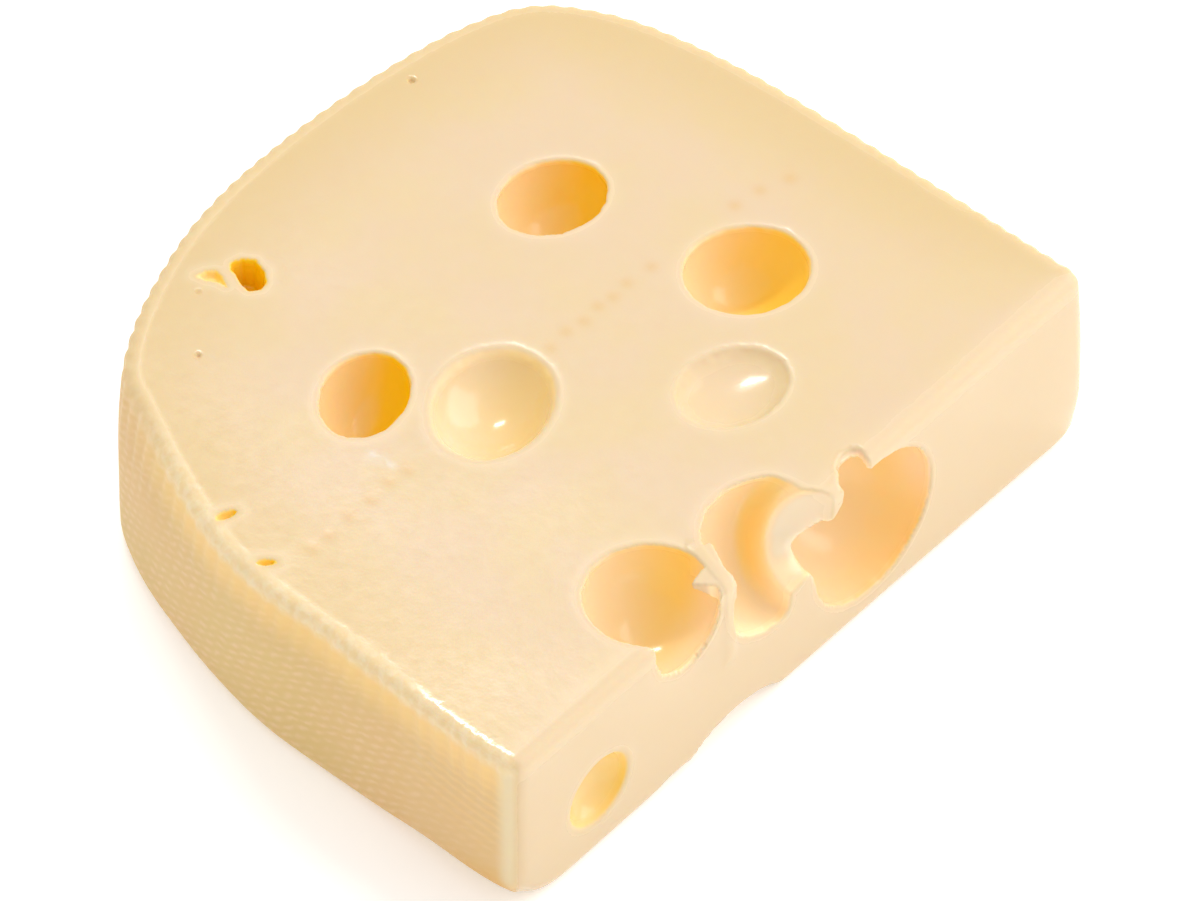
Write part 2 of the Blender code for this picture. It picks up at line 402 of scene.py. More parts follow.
def spline(points, step):
    """Points about a step apart on a smooth curve through the given ones."""
    points = np.array(points)
    ends = np.vstack([2 * points[0] - points[1], points, 2 * points[-1] - points[-2]])
    line = []
    for before, start, end, after in zip(ends, ends[1:], ends[2:], ends[3:]):
        count = max(1, round(np.linalg.norm(end - start) / step))
        t = np.arange(count)[:, None] / count
        square = (2 * before - 5 * start + 4 * end - after) * t**2
        cube = (3 * start - before - 3 * end + after) * t**3
        line.append(0.5 * (2 * start + (end - before) * t + square + cube))
    return np.vstack([*line, points[-1:]])


def round_corner(start, corner, end, steps=6):
    """Points along a curve that rounds a corner off."""
    t = np.arange(steps + 1)[:, None] / steps
    return start * (1 - t) ** 2 + corner * 2 * t * (1 - t) + end * t**2


def outline(step=1.0):
    """The slab seen from above, anticlockwise, starting on the narrow face."""
    rind = spline(RIND_LINE, step)
    right, left = rind[0], rind[-1]
    along = (right - left) / np.linalg.norm(right - left)
    clear = [np.linalg.norm(rind - end, axis=1) > CORNER_RADIUS for end in (right, left)]
    rind = rind[clear[0] & clear[1]]
    up_right = right + (rind[0] - right) / np.linalg.norm(rind[0] - right) * CORNER_RADIUS
    up_left = left + (rind[-1] - left) / np.linalg.norm(rind[-1] - left) * CORNER_RADIUS
    face_left = left + along * CORNER_RADIUS
    face_right = right - along * CORNER_RADIUS
    count = round(np.linalg.norm(face_right - face_left) / step)
    share = np.arange(1, count)[:, None] / count
    face = face_left + (face_right - face_left) * share
    right_corner = round_corner(face_right, right, up_right)
    left_corner = round_corner(up_left, left, face_left)
    return np.vstack([face, right_corner, rind, left_corner])


def blurred(values, reach):
    """A map softened by a bell of the given reach, in grid steps."""
    span = np.arange(-3 * reach, 3 * reach + 1)
    bell = np.exp(-0.5 * (span / reach) ** 2)
    bell /= bell.sum()

    def soften(row):
        return np.convolve(np.pad(row, len(span) // 2, mode="edge"), bell, mode="valid")

    return np.apply_along_axis(soften, 1, np.apply_along_axis(soften, 0, values))


class Plan:
    """Maps of the slab seen from above, each a layer of one array."""

    LAYERS = ("distance", "soft_distance", "foot", "lean", "bulge", "along", "rind", "soft_rind")

    def __init__(self):
        line = outline()
        self.low = line.min(0) - PLAN_MARGIN
        size = line.max(0) + PLAN_MARGIN - self.low
        self.shape = np.ceil(size / PLAN_STEP).astype(int) + 1
        axes = [self.low[axis] + PLAN_STEP * np.arange(self.shape[axis]) for axis in (0, 1)]
        grid = np.stack(np.meshgrid(*axes, indexing="ij"), -1).reshape(-1, 2)
        measured = self.measure(line, grid).reshape(*self.shape, -1)
        distance, foot, *others, rind = np.moveaxis(measured, -1, 0)
        soft_distance = blurred(distance, SOFT_DISTANCE)
        soft_foot = blurred(foot, SOFT_FOOT)
        soft_rind = blurred(rind, SOFT_RIND)
        self.maps = np.dstack([distance, soft_distance, soft_foot, *others, rind, soft_rind])

    @staticmethod
    def measure(line, grid):
        """Distance to the outline, and what belongs to its nearest point."""
        along = np.roll(line, -1, 0) - line
        length = np.linalg.norm(along, axis=1)
        normal = np.stack([along[:, 1], -along[:, 0]], 1) / length[:, None]
        travelled = np.concatenate([[0.0], np.cumsum(length)[:-1]])
        rows = []
        for places in np.array_split(grid, PLAN_BATCHES):
            offset = places[:, None] - line
            share = np.clip((offset * along).sum(-1) / length**2, 0.0, 1.0)
            gap = offset - share[..., None] * along
            square = (gap**2).sum(-1)
            nearest = square.argmin(1)
            row = np.arange(len(places))
            share = share[row, nearest]
            outside = (gap[row, nearest] * normal[nearest]).sum(-1) > 0
            distance = np.sqrt(square[row, nearest]) * np.where(outside, 1.0, -1.0)
            point = line[nearest] + share[:, None] * along[nearest]
            foot, lean, bulge, rind = edge_values(point, normal[nearest])
            travel = travelled[nearest] + share * length[nearest]
            rows.append(np.column_stack([distance, foot, lean, bulge, travel, rind]))
        return np.vstack(rows)

    def sample(self, x, y):
        """The maps' values at points, one array for each layer."""
        place = (np.column_stack([x, y]) - self.low) / PLAN_STEP
        place = np.clip(place, 0.0, self.shape - 1.001)
        cell = place.astype(int)
        share = place - cell
        value = 0.0
        for ends in np.ndindex(2, 2):
            weight = np.prod(np.where(ends, share, 1 - share), axis=1)
            value = value + self.maps[cell[:, 0] + ends[0], cell[:, 1] + ends[1]] * weight[:, None]
        return dict(zip(self.LAYERS, value.T))


def edge_values(point, normal):
    """Foot radius, lean, bulge and share of rind at points of the outline."""
    x, y = point.T
    rind = smooth_step(-0.98, -0.35, normal[:, 1])
    corner = FOOT_ROUND_CORNER * smooth_step(CORNER_REACH, 0.0, np.hypot(x, y))
    near_left = smooth_step(34.0, 6.0, y) * smooth_step(20.0, 6.0, x)
    near_right = smooth_step(14.0, 2.0, y) * smooth_step(90.0, 106.0, x)
    rind_foot = FOOT_ROUND + (FOOT_ROUND_LEFT - FOOT_ROUND) * near_left
    rind_foot = rind_foot + (FOOT_ROUND_RIGHT - FOOT_ROUND) * near_right
    foot = FOOT_ROUND_CUT + (rind_foot - FOOT_ROUND_CUT) * rind + corner
    left = LEFT_LEAN * smooth_step(44.0, 80.0, y) * smooth_step(26.0, 12.0, x)
    face = FACE_LEAN_LEFT + FACE_LEAN_GAIN * (x / WHEEL_HEIGHT) ** 2
    face = face * smooth_step(-0.3, -0.9, normal[:, 1])
    bulge = SIDE_BULGE * np.maximum(smooth_step(30.0, 70.0, y), smooth_step(90.0, 108.0, x))
    return foot, left + face, bulge, rind


PLAN = Plan()


def slab(points):
    """The slab before its eyes."""
    x, y, z = points.T
    plan = PLAN.sample(x, y)
    up = np.clip(z / THICKNESS, 0.0, 1.0)
    wall = plan["distance"] + (plan["soft_distance"] - plan["distance"]) * smooth_step(8.0, 0.0, z)
    wall = wall - plan["bulge"] * 4 * up * (1 - up) - plan["lean"] * (1 - up)
    wall = wall - plan["rind"] * rind_relief(points, plan["along"])
    height, size = TOP_LUMPS
    top = z - THICKNESS - height * noise(points, size, 3)
    for dimple in DIMPLES:
        top = top + DIMPLE_DEPTH * np.exp(-((x - dimple[0]) ** 2 + (y - dimple[1]) ** 2) / DIMPLE_RADIUS**2)
    body = round_and(round_and(wall, top, TOP_ROUND), -z, plan["foot"])
    return body - crumbs(points, plan)


def rind_relief(points, along):
    """Height of the rind over its mean: lumps, and scallops pressed in along it."""
    lumps = LUMP_DEPTH * noise(points, LUMP_SIZE, 5)
    drift = 0.8 * noise(points, 17.0, 7)
    scallops = SCALLOP_DEPTH * np.cos(2 * math.pi * (along / SCALLOP_LENGTH + drift))
    return lumps + scallops * smooth_step(12.0, 26.0, points[:, 2])


def crumbs(points, plan):
    """Height of the crumbly strip along the left side's top edge."""
    place = points[:, 0] + 0.5 * points[:, 1]
    left = smooth_step(58.0, 34.0, place) * plan["rind"]
    left = left * smooth_step(15.0, 22.0, points[:, 1])
    strip = smooth_step(-2.9, -0.8, plan["distance"]) * smooth_step(25.0, 27.0, points[:, 2])
    return left * strip * (0.05 * noise(points, 1.1, 21) + 0.05 * noise(points, 2.3, 22))


def ellipsoid(points, centre, radii, angle=0.0, shear=(0.0, 0.0)):
    """An ellipsoid turned about Z, whose levels slide sideways with depth."""
    local = points - np.array(centre)
    depth_share = -local[:, 2] / radii[2]
    x = local[:, 0] - shear[0] * depth_share
    y = local[:, 1] - shear[1] * depth_share
    turn = math.radians(angle)
    cos, sin = math.cos(turn), math.sin(turn)
    turned = np.column_stack([x * cos + y * sin, y * cos - x * sin, local[:, 2]])
    near = np.linalg.norm(turned / np.array(radii), axis=1)
    slope = np.linalg.norm(turned / np.array(radii) ** 2, axis=1)
    return near * (near - 1.0) / np.maximum(slope, 1e-6)


def ball(points, centre, radius):
    return np.linalg.norm(points - np.array(centre), axis=1) - radius


def top_eye(points, eye):
    """An eye in the top face. Its ellipsoid is widest a little under the face."""
    height = eye.depth - eye.drop
    if eye.drop == 0.0:
        # A dish is the cap of a ball whose centre is above the face.
        mean = sum(eye.half_widths) / 2
        radius = (mean**2 + eye.depth**2) / (2 * eye.depth)
        radii = (*(width * radius / mean for width in eye.half_widths), radius)
        centre = (*eye.centre, THICKNESS - eye.depth + radius)
    else:
        # The rim lies above the widest level, so the ellipsoid is a little wider than it.
        swell = 1 / math.sqrt(1 - (eye.drop / height) ** 2)
        radii = (*(width * swell for width in eye.half_widths), height)
        centre = (*eye.centre, THICKNESS - eye.drop)
    return ellipsoid(points, centre, radii, eye.angle, eye.push)


def corner_hollows(points):
    """The three eyes that open in the narrow face's top edge, and the torn wall's scoop."""
    left = ball(points, *CORNER_LEFT)
    middle = round_and(ball(points, *CORNER_MIDDLE), -ball(points, *BULGE), BULGE_ROUND)
    right = ball(points, *CORNER_RIGHT)
    scoop = ball(points, *TORN_WALL)
    return left, middle, right, scoop


def segment(points, ends):
    """Distance seen from above to a straight line between two ends."""
    start, end = (np.array(place) for place in ends)
    along = end - start
    offset = points[:, :2] - start
    share = np.clip(offset @ along / (along @ along), 0.0, 1.0)
    return np.linalg.norm(offset - share[:, None] * along, axis=1)


def polygon(points, corners):
    """Distance seen from above to a polygon, negative inside."""
    corners = np.array(corners)
    near = np.full(len(points), np.inf)
    crossings = np.zeros(len(points), int)
    x, y = points[:, 0], points[:, 1]
    for start, end in zip(corners, np.roll(corners, -1, 0)):
        near = np.minimum(near, segment(points, (start, end)))
        spans = (start[1] > y) != (end[1] > y)
        reach = start[0] + (y - start[1]) / (end[1] - start[1] + 1e-12) * (end[0] - start[0])
        crossings += spans & (x < reach)
    return np.where(crossings % 2 == 1, -near, near)


def prism(points, corners, floor, draft=0.0):
    """An upright prism on a polygon, open at the top, that narrows downwards by the draft."""
    side = polygon(points, corners) + draft * np.maximum(THICKNESS - points[:, 2], 0.0)
    return round_and(side, floor - points[:, 2], 0.3)


def slit(points, place, radii, angle):
    """A short slit in the top face."""
    return ellipsoid(points, (*place, THICKNESS - SLIT_DROP), radii, angle)


def eye_hollows(points):
    """The top face's eyes, the corner eyes with the torn wall's scoop, and the low eye."""
    top = [top_eye(points, eye) for eye in TOP_EYES]
    return [*top, *corner_hollows(points), ellipsoid(points, *LOW_EYE)]


def small_holes(points):
    """The ragged hole, the crescent and the slits."""
    ragged = prism(points, RAGGED_HOLE, RAGGED_FLOOR, RAGGED_DRAFT)
    crescent = prism(points, CRESCENT, CRESCENT_FLOOR, CRESCENT_DRAFT)
    return [ragged, crescent, *(slit(points, *sizes) for sizes in SLITS)]


def from_centre(points, centre):
    """Distance seen from above to a point."""
    return np.linalg.norm(points[:, :2] - centre, axis=1)


def rim_radius(points, eye):
    """How far an eye's rim is rounded: more on the side away from the narrow face."""
    near, far = eye.rounding
    offset = points[:, :2] - np.array(eye.centre)
    away = offset @ np.array(FAR_SIDE) / np.maximum(np.linalg.norm(offset, axis=1), 1e-3)
    return near + (far - near) * smooth_step(-0.2, 0.8, away)


def tooth(points):
    """A flat tooth flush with the top face, thin at its tip."""
    under = THICKNESS - points[:, 2] - TOOTH_EDGE - TOOTH_SWELL * from_centre(points, TOOTH_TIP)
    return np.maximum(polygon(points, TOOTH), under)


def less_corner_eyes(shape, points, wobble, ragged):
    """The shape less the eyes in the narrow face's top edge, with the tear in their roof."""
    left, middle, right, scoop = corner_hollows(points)
    shape = round_and(shape, -(left + wobble * 0.5 + ragged), CORNER_RIM)
    shape = round_and(shape, -(middle + ragged), CORNER_RIM)
    below = smooth_step(22.5, 18.5, points[:, 2])
    blend = TORN_BLEND_ABOVE + (TORN_BLEND_BELOW - TORN_BLEND_ABOVE) * below
    shape = round_and(shape, -smooth_or(right + ragged, scoop, blend), CORNER_RIM)
    roof = np.maximum(polygon(points, ROOF_TEAR), ROOF_TEAR_FLOOR - points[:, 2])
    return round_and(shape, -(roof + ragged), 0.2)


def less_small_holes(shape, points, ragged):
    """The shape less its ragged hole, crescent, slits and pits."""
    hole, crescent, *slits = small_holes(points)
    shape = round_and(shape, -(hole + ragged), 0.2)
    shape = round_and(shape, -crescent, 0.25)
    for opening in slits:
        shape = round_and(shape, -(opening + ragged), 0.12)
    for place, radius in PITS:
        shape = round_and(shape, -ball(points, (*place, THICKNESS), radius), 0.1)
    return shape


def cheese(points):
    """The field whose zero level is the cheese's surface, negative inside."""
    body = slab(points)
    shape = body
    wobble = WALL_LUMPS[0] * noise(points, WALL_LUMPS[1], 2)
    ragged = TORN_LUMPS[0] * noise(points, TORN_LUMPS[1], 19) * smooth_step(1.6, 0.2, -body)
    for eye in TOP_EYES:
        shape = round_and(shape, -(top_eye(points, eye) + wobble + ragged), rim_radius(points, eye))
    shape = less_corner_eyes(shape, points, wobble, ragged)
    for centre, radii in FOOT_HOLLOWS:
        shape = round_and(shape, -ellipsoid(points, centre, radii), 0.8)
    shape = round_and(shape, -ellipsoid(points, *LOW_EYE), 0.4)
    shape = less_small_holes(shape, points, ragged)
    ridge = np.maximum(segment(points, RIDGE_LINE) - RIDGE_HALF, RIDGE_FOOT - points[:, 2])
    ridge = np.maximum(ridge, body)
    return np.minimum(smooth_or(shape, ridge, 0.6), np.maximum(tooth(points), body))


def field():
    """The cheese's field on a grid, measured only near its surface."""
    low = np.append(PLAN.low + PLAN_MARGIN, 0.0) - FIELD_MARGIN
    low[2] = -FIELD_STEP * (round(FIELD_MARGIN / FIELD_STEP) + 0.5)
    high = np.append(PLAN.low + (PLAN.shape - 1) * PLAN_STEP - PLAN_MARGIN, THICKNESS) + FIELD_MARGIN
    coarse_shape = np.ceil((high - low) / COARSE_STEP).astype(int) + 1
    coarse = cheese(grid_points(low, coarse_shape, COARSE_STEP)).reshape(coarse_shape)
    shape = np.floor((high - low) / FIELD_STEP).astype(int)
    nearest = [np.rint(np.arange(count) * FIELD_STEP / COARSE_STEP).astype(int) for count in shape]
    values = coarse[np.ix_(*nearest)]
    near = np.abs(values) < 1.2 * COARSE_STEP
    points = grid_points(low, shape, FIELD_STEP)
    wanted = np.flatnonzero(near.ravel())
    flat = values.ravel()
    for rows in np.array_split(wanted, max(1, len(wanted) // FIELD_BATCH)):
        flat[rows] = cheese(points[rows])
    return flat.reshape(shape), low


def grid_points(low, shape, step):
    """A grid's points in rows, from its lowest corner."""
    axes = [low[axis] + step * np.arange(shape[axis]) for axis in range(3)]
    return np.stack(np.meshgrid(*axes, indexing="ij"), -1).reshape(-1, 3)


def directions(axis):
    """The grid's step along an axis, and its steps along the next two."""
    steps = np.eye(3, dtype=int)
    return steps[axis], steps[(axis + 1) % 3], steps[(axis + 2) % 3]


def net_vertices(values, low, cells):
    """A vertex in each cell: the mean of the places where its edges cross the zero level."""
    total = np.zeros((len(cells), 3))
    hits = np.zeros(len(cells))
    for axis in range(3):
        step, next_way, last_way = directions(axis)
        for first, second in np.ndindex(2, 2):
            start = cells + first * next_way + second * last_way
            from_value = values[tuple(start.T)]
            to_value = values[tuple((start + step).T)]
            crossed = (from_value < 0) != (to_value < 0)
            share = from_value[crossed] / (from_value[crossed] - to_value[crossed])
            total[crossed] += start[crossed] + share[:, None] * step
            hits += crossed
    return low + FIELD_STEP * total / hits[:, None]


def net_quads(inside, index):
    """A quad round each of the grid's edges that crosses the zero level, facing outwards."""
    quads = []
    for axis in range(3):
        _, next_way, last_way = directions(axis)
        edges = np.argwhere(np.diff(inside, axis=axis))
        leaving = inside[tuple(edges.T)]
        turns = ((1, 1), (0, 1), (0, 0), (1, 0))
        corners = [edges - first * next_way - second * last_way for first, second in turns]
        quad = np.column_stack([index[tuple(corner.T)] for corner in corners])
        quad[~leaving] = quad[~leaving][:, ::-1]
        quads.append(quad)
    return np.vstack(quads)


def surface_net(values, low):
    """Vertices and quads round the zero level: a vertex in each cell that it crosses."""
    inside = values < 0
    size = np.array(values.shape)
    count = np.zeros(size - 1, np.int8)
    for corner in np.ndindex(2, 2, 2):
        count += inside[tuple(slice(c, n - 1 + c) for c, n in zip(corner, size))]
    active = (count > 0) & (count < 8)
    cells = np.argwhere(active)
    index = np.full(size - 1, -1)
    index[active] = np.arange(len(cells))
    return net_vertices(values, low, cells), net_quads(inside, index)


def slope(points, function, reach=0.05):
    """The gradient of a field at points."""
    rows = []
    for axis in range(3):
        offset = np.eye(3)[axis] * reach
        rows.append((function(points + offset) - function(points - offset)) / (2 * reach))
    return np.column_stack(rows)


def onto_surface(points, rounds=3):
    """The points moved onto the cheese's surface along its slope."""
    for _ in range(rounds):
        value = cheese(points)
        gradient = slope(points, cheese)
        steepness = np.maximum((gradient**2).sum(1), 0.25)
        step = np.clip(value / steepness, -0.4 * FIELD_STEP, 0.4 * FIELD_STEP)
        points = points - gradient * step[:, None]
    return points


def rims(points):
    """Distance to the rims and small holes, where the net is made finer."""
    body = slab(points)
    near = np.min(np.abs(eye_hollows(points)), axis=0)
    rim = np.maximum(near, -body)
    holes = [polygon(points, corners) for corners in (RAGGED_HOLE, CRESCENT, TOOTH)]
    holes += [from_centre(points, place) - 1.4 for place, *_ in SLITS]
    holes += [from_centre(points, place) - 0.5 for place, _radius in PITS]
    hole = np.maximum(np.min(holes, axis=0), THICKNESS - 5.0 - points[:, 2])
    return np.minimum(rim, hole)


def flatness(points):
    """Whether the surface is plain and level, so that it needs few faces."""
    plan = PLAN.sample(points[:, 0], points[:, 1])
    dimples = [from_centre(points, place) for place in DIMPLES]
    level = np.abs(points[:, 2] - THICKNESS / 2) > THICKNESS / 2 - 0.3
    plain = (rims(points) > 2.0) & (np.min(dimples, axis=0) > 2.0)
    return level & plain & (plan["distance"] < -7.0)


def thinned(vertices, quads):
    """The net's faces, with each whole block of flat quads joined into one."""
    middle = vertices[quads].mean(1)
    flat = np.flatnonzero(flatness(middle))
    block = np.floor(middle[flat, :2] / (BLOCK * FIELD_STEP) + 1e-6).astype(int)
    above = middle[flat, 2] > THICKNESS / 2
    keys = {}
    for row, *key in zip(flat, *block.T, above):
        keys.setdefault(tuple(key), []).append(row)
    whole = {key: rows for key, rows in keys.items() if len(rows) == BLOCK**2}
    joined = np.zeros(len(quads), bool)
    joined[[row for rows in whole.values() for row in rows]] = True
    loose = np.zeros(len(vertices), bool)
    loose[quads[~joined].ravel()] = True
    faces = quads[~joined].tolist()
    for (*_, above), rows in whole.items():
        faces += joined_block(vertices, np.unique(quads[rows]), loose, above)
    return faces


def joined_block(vertices, members, loose, above):
    """One quad for a block, or a fan about its middle where its rim has other neighbours."""
    x_order = np.round(vertices[members, 0] / FIELD_STEP)
    grid = members[np.lexsort((vertices[members, 1], x_order))].reshape(BLOCK + 1, BLOCK + 1)
    ring = [*grid[:-1, 0], *grid[-1, :-1], *grid[:0:-1, -1], *grid[0, :0:-1]]
    if not above:
        ring = ring[::-1]
    corners = {grid[0, 0], grid[-1, 0], grid[-1, -1], grid[0, -1]}
    ring = [int(index) for index in ring if index in corners or loose[index]]
    if len(ring) == 4:
        return [ring]
    middle = int(grid[BLOCK // 2, BLOCK // 2])
    return [[middle, start, end] for start, end in zip(ring, ring[1:] + ring[:1])]


def refined(vertices, faces):
    """A mesh of the net with its rims and small holes made finer."""
    mesh = bpy.data.meshes.new("cheese")
    mesh.from_pydata(vertices.tolist(), [], faces)
    net = bmesh.new()
    net.from_mesh(mesh)
    net.faces.ensure_lookup_table()
    middle = np.array([face.calc_center_median() for face in net.faces])
    near = rims(middle) < FINE_REACH
    edges = {edge for index in np.flatnonzero(near) for edge in net.faces[index].edges}
    bmesh.ops.subdivide_edges(net, edges=list(edges), cuts=1, use_grid_fill=True)
    bmesh.ops.triangulate(net, faces=[face for face in net.faces if len(face.verts) > 4])
    unused = [vertex for vertex in net.verts if not vertex.link_faces]
    bmesh.ops.delete(net, geom=unused, context="VERTS")
    net.to_mesh(mesh)
    net.free()
    return mesh


def read_points(mesh):
    """A mesh's vertices, one to a row."""
    points = np.empty(len(mesh.vertices) * 3)
    mesh.vertices.foreach_get("co", points)
    return points.reshape(-1, 3)


def cheese_mesh():
    """The cheese's mesh in metres, and its vertices in wedge coordinates."""
    vertices, quads = surface_net(*field())
    mesh = refined(vertices, thinned(vertices, quads))
    points = onto_surface(read_points(mesh))
    mesh.vertices.foreach_set("co", ((points - ORIGIN) * MM).ravel())
    mesh.validate()
    mesh.update()
    return mesh, points


def torn_mask(points, middle, right, scoop):
    """Where the torn end of the wall shows pale paste."""
    foot = TORN_FOOT + TORN_FOOT_SLOPE * np.maximum(points[:, 0] - TORN_FOOT_START, 0.0)
    torn = smooth_step(-0.3, 0.5, right - scoop) * smooth_step(0.1, 1.6, middle)
    return torn * np.exp(-((scoop / TORN_REACH) ** 2)) * smooth_step(-0.7, 1.0, points[:, 2] - foot)


def eye_masks(points, body):
    """Masks of the eyes, with how bright their walls are painted against the hollows' shade, and the least
    share of painted shade on them.
    """
    eyes = eye_hollows(points)
    holes = small_holes(points)
    on_wall = np.exp(-((np.array(eyes + holes) / WALL_REACH) ** 2))
    tints = on_wall.T @ np.array(TINTS) / np.maximum(on_wall.sum(0), 0.3)[:, None]
    bright, colour, least = tints.T
    torn = torn_mask(points, *corner_hollows(points)[1:])
    shallow = np.min(holes, axis=0) < 0.6
    inside = smooth_step(0.0, 0.4, np.where(shallow, 3.0 * -body, -body))
    nearest = np.min(eyes + holes, axis=0)
    rim = np.exp(-((nearest / RIM_REACH) ** 2)) * smooth_step(1.4, 0.6, -body)
    rim = np.maximum(rim, smooth_step(0.5, 0.0, tooth(points)))
    for place, _radius in PITS:
        rim = np.maximum(rim, smooth_step(0.8, 0.4, from_centre(points, place)))
    masks = {
        # How light the eyes' walls are painted, against the shade of the hollows.
        "eye": bright * inside * (1 - torn),
        "colour": colour,
        "torn": torn * inside,
        "halo": np.exp(-((np.maximum(nearest, 0.0) / HALO_REACH) ** 2)) * (1 - inside),
        "rim": rim,
    }
    return masks, least


def shade_mask(points, body, least):
    """How much painted shade, a deep orange, colours the eyes' walls: most on walls facing away from the
    light and deep down, less near the narrow face and on the lower lips, where painted light goes.
    """
    _x, y, z = points.T
    outward = slope(points, cheese)
    outward /= np.maximum(np.linalg.norm(outward, axis=1), 1e-6)[:, None]
    # Painted shade: more on walls that face away from the light, and more deeper down in the hollows.
    facing = outward[:, :2] @ np.array(SHADED_SIDE) + 0.15 * smooth_step(1.0, 8.0, -body)
    painted_shade = smooth_step(-0.7, 0.75, facing)
    # Painted light near the narrow face, where light comes through the thin walls.
    painted_shade = painted_shade * (1 - 0.9 * smooth_step(8.0, 1.0, y) * smooth_step(8.0, 16.0, z))
    # Painted light on the lower lips, which face the light.
    lip = smooth_step(0.3, 0.9, outward[:, :2] @ np.array(LIT_LIP_SIDE)) * smooth_step(3.0, 0.8, -body)
    return least + (1 - least) * painted_shade * (1 - 0.5 * lip)


def rind_masks(points, plan):
    """Masks of the rind, its dullness and tint, the marks of its left side, painted shade at its foot and a
    painted highlight down its corner by the narrow face.
    """
    x, y, z = points.T
    distance, rind = plan["distance"], plan["rind"]
    left = smooth_step(60.0, 36.0, x + 0.5 * y)
    side = rind * smooth_step(-2.6, -0.8, distance) * smooth_step(0.0, 1.0, THICKNESS - z)
    dull = rind * smooth_step(15.0, 21.0, y) * smooth_step(-2.6, -1.3, distance)
    strip = rind * smooth_step(-3.2, -0.8, distance) * smooth_step(25.6, 27.6, z)
    return {
        "rind": side,
        "dull": np.maximum(dull, 0.6 * side),
        "edge": smooth_step(-20.0, -1.0, distance) * plan["soft_rind"],
        "strip": strip * (0.2 + 0.55 * left),
        "brow": rind * left * smooth_step(19.0, 26.0, z) * smooth_step(28.0, 26.0, z),
        "lines": rind * left * smooth_step(26.0, 8.0, y) * smooth_step(6.0, 18.0, z),
        "weave": side * (0.3 + 0.7 * smooth_step(8.0, 34.0, y + 0.4 * (THICKNESS - z))),
        # Painted highlight down the rounded corner by the narrow cut face.
        "corner": side * smooth_step(3.6, 1.2, np.hypot(x, y)) * smooth_step(2.0, 8.0, z),
        # Painted shade on the rounded foot of the left side, reaching higher near the narrow face.
        "foot": rind * left * smooth_step(10.0, 3.0, z + 0.25 * y),
    }


def paste_masks(points, plan):
    """Masks of the paste: the narrow cut face with its painted shade and the painted highlight on its top
    edge, dimples, pits and the smear.
    """
    z = points[:, 2]
    distance, cut = plan["distance"], 1 - plan["rind"]
    spots = [from_centre(points, place) for place in DIMPLES]
    spots += [2.2 * from_centre(points, place) for place, _radius in PITS]
    on_top = smooth_step(27.0, 28.0, z)
    return {
        # Painted shade over the narrow cut face.
        "cut": np.minimum(2 * cut, 1.0) * smooth_step(-2.5, -0.8, distance),
        # Painted highlight along the rounded top edge of the narrow cut face.
        "brink": cut * np.exp(-(((distance + 0.2) / 2.0) ** 2)) * smooth_step(24.5, 27.5, z),
        "dimple": np.exp(-(np.min(spots, axis=0) ** 2)) * on_top,
        "smear": np.exp(-((segment(points, SMEAR_LINE) / SMEAR_REACH) ** 2)) * on_top,
    }


def cloth_place(points, plan):
    """Each point's place along and across the rows of the cloth's imprint."""
    tilt = math.radians(WEAVE_TILT)
    z = points[:, 2]
    along = plan["along"] * math.cos(tilt) + z * math.sin(tilt)
    across = z * math.cos(tilt) - plan["along"] * math.sin(tilt)
    return np.column_stack([along, across, plan["distance"]])


def add_masks(mesh, points):
    """What the material needs to know of each place, as attributes of the mesh."""
    plan = PLAN.sample(points[:, 0], points[:, 1])
    body = slab(points)
    masks, least = eye_masks(points, body)
    masks["painted_shade"] = shade_mask(points, body, least)
    masks |= rind_masks(points, plan) | paste_masks(points, plan)
    for name, values in masks.items():
        attribute = mesh.attributes.new(name, "FLOAT", "POINT")
        attribute.data.foreach_set("value", values.astype(np.float32))
    attribute = mesh.attributes.new("cloth", "FLOAT_VECTOR", "POINT")
    attribute.data.foreach_set("vector", cloth_place(points, plan).astype(np.float32).ravel())


class Graph:
    """A material's node tree, with short calls for the nodes used here."""

    def __init__(self, name):
        self.material = bpy.data.materials.new(name)
        self.material.use_nodes = True
        self.tree = self.material.node_tree
        self.shader = self.tree.nodes["Principled BSDF"]

    def node(self, kind, **settings):
        node = self.tree.nodes.new(kind)
        for name, value in settings.items():
            setattr(node, name, value)
        return node

    def put(self, socket, value):
        if isinstance(value, bpy.types.NodeSocket):
            self.tree.links.new(value, socket)
        else:
            socket.default_value = value

    def mask(self, name):
        return self.node("ShaderNodeAttribute", attribute_name=name).outputs["Fac"]

    def vector(self, name):
        return self.node("ShaderNodeAttribute", attribute_name=name).outputs["Vector"]

    def mix(self, share, first, second):
        """The first colour, turning into the second as the share goes from 0 to 1."""
        node = self.node("ShaderNodeMix", data_type="RGBA")
        self.put(node.inputs[0], share)
        self.put(node.inputs[6], first)
        self.put(node.inputs[7], second)
        return node.outputs[2]

    def faint(self, name, strength):
        """A mask times a strength."""
        return self.math("MULTIPLY", self.mask(name), strength)

    def math(self, operation, first, second=0.0, third=0.0):
        node = self.node("ShaderNodeMath", operation=operation)
        for socket, value in zip(node.inputs, (first, second, third)):
            self.put(socket, value)
        return node.outputs[0]

    def noise(self, vector, scale, detail=2.0, roughness=0.5):
        node = self.node("ShaderNodeTexNoise")
        self.put(node.inputs["Vector"], vector)
        self.put(node.inputs["Scale"], scale)
        self.put(node.inputs["Detail"], detail)
        self.put(node.inputs["Roughness"], roughness)
        return node.outputs["Fac"]

    def between(self, value, low, high):
        """The value's place between two limits, smoothed, from 0 to 1."""
        node = self.node("ShaderNodeMapRange", interpolation_type="SMOOTHSTEP")
        self.put(node.inputs["Value"], value)
        self.put(node.inputs["From Min"], low)
        self.put(node.inputs["From Max"], high)
        return node.outputs["Result"]


